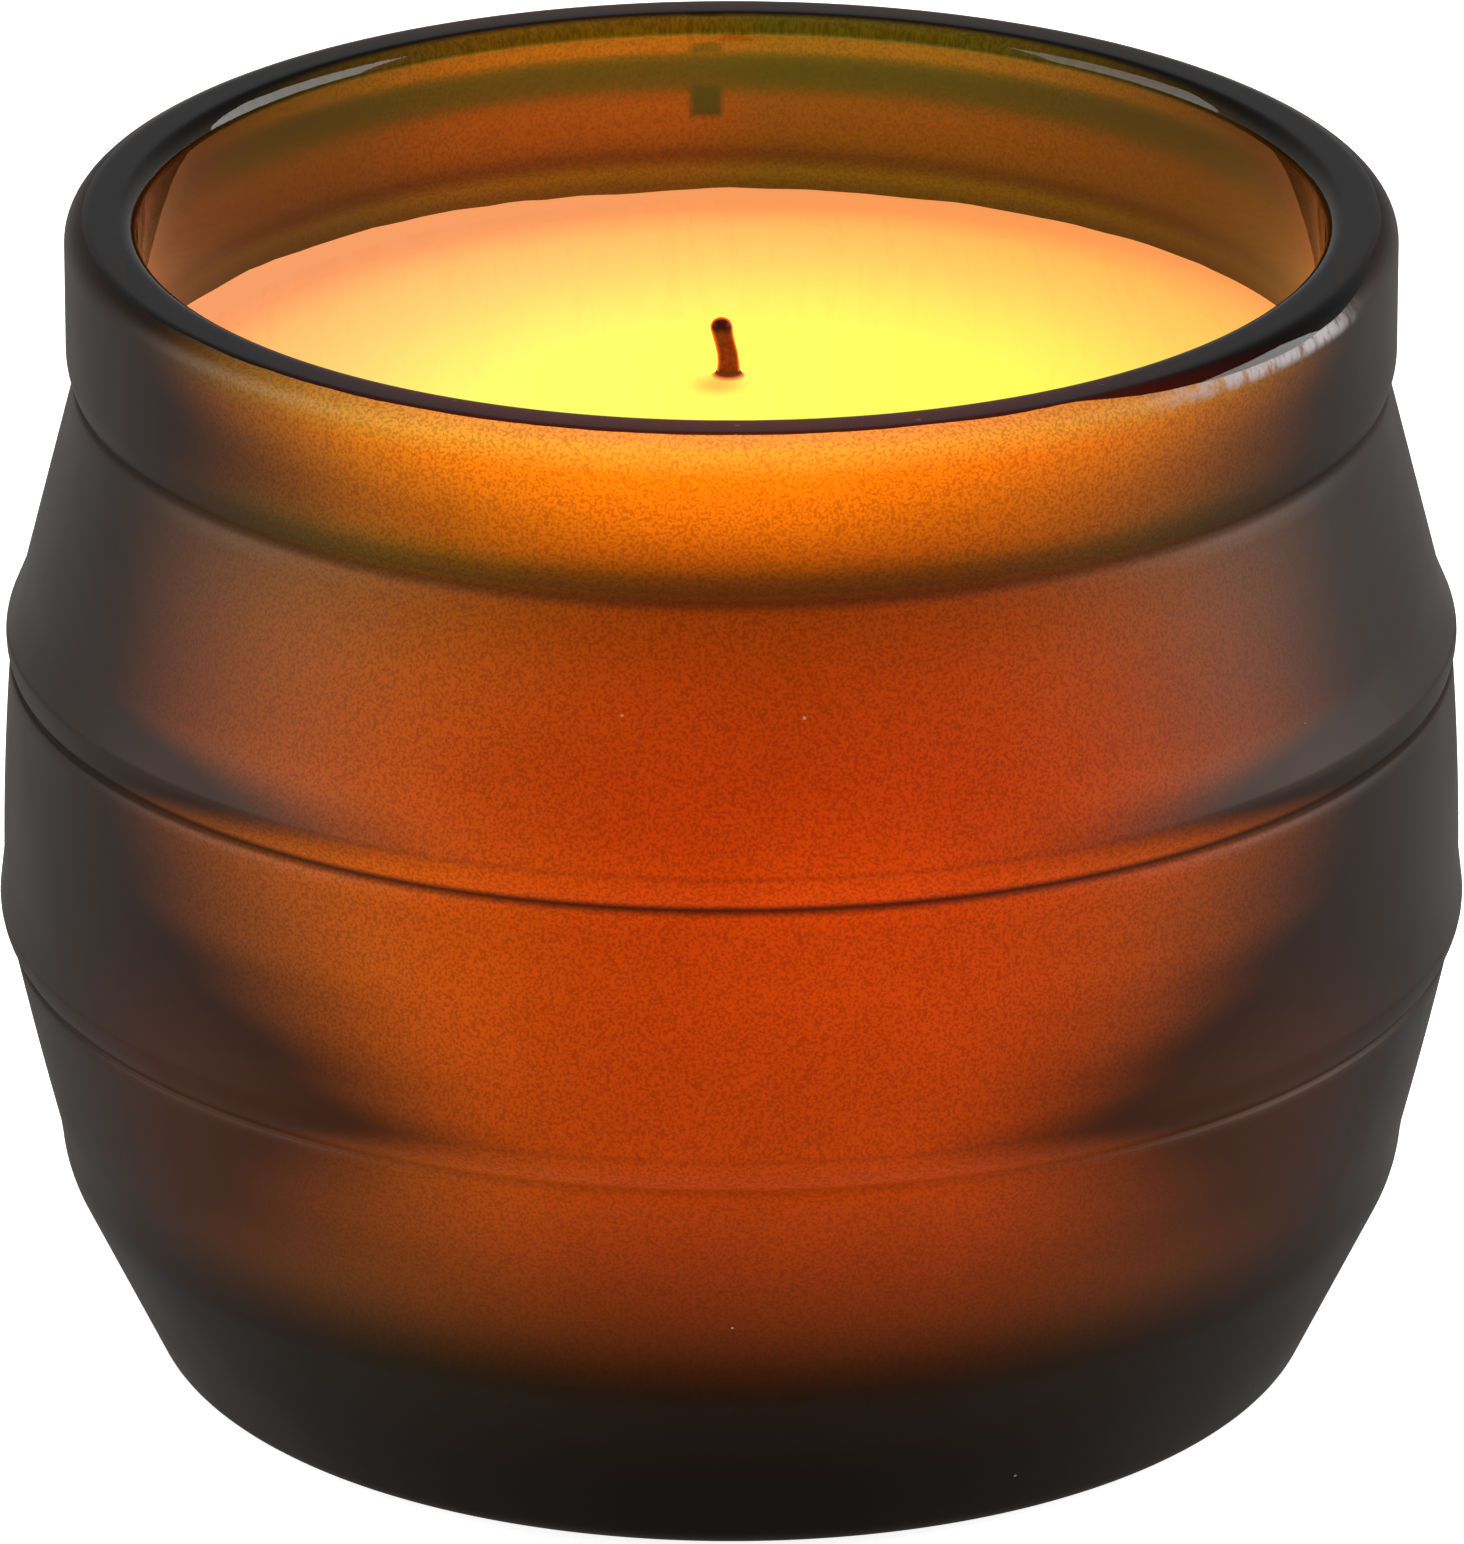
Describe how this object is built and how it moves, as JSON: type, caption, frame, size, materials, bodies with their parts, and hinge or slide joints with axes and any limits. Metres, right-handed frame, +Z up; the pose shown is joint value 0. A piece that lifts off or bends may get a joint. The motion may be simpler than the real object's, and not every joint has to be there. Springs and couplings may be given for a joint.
{
  "type": "filled candle jar",
  "caption": "Barrel-shaped amber glass candle jar with soft raised hoops, filled with wax round a cored wick on a metal tab.",
  "frame": {"origin": "centre of the flat ring that the jar stands on", "axes": "+Z up along the jar's axis, -Y the front"},
  "size_m": [0.1002, 0.1002, 0.0812],
  "materials": {
    "frosted_glass": "etched satin outside, polished lip and inside",
    "candle_wax": "smooth satin wax",
    "waxed_cotton": "waxed, burnt at the tip",
    "wick_paper": "matte",
    "tinned_steel": "bright tin plate",
    "adhesive_foam": "white foam"
  },
  "bodies": {
    "root": {"glass_jar": "frosted_glass", "wax_fill": "candle_wax", "wick_braid": "waxed_cotton", "wick_core": "wick_paper", "wick_sustainer": "tinned_steel", "wick_sticker": "adhesive_foam"}
  },
  "joints": []
}
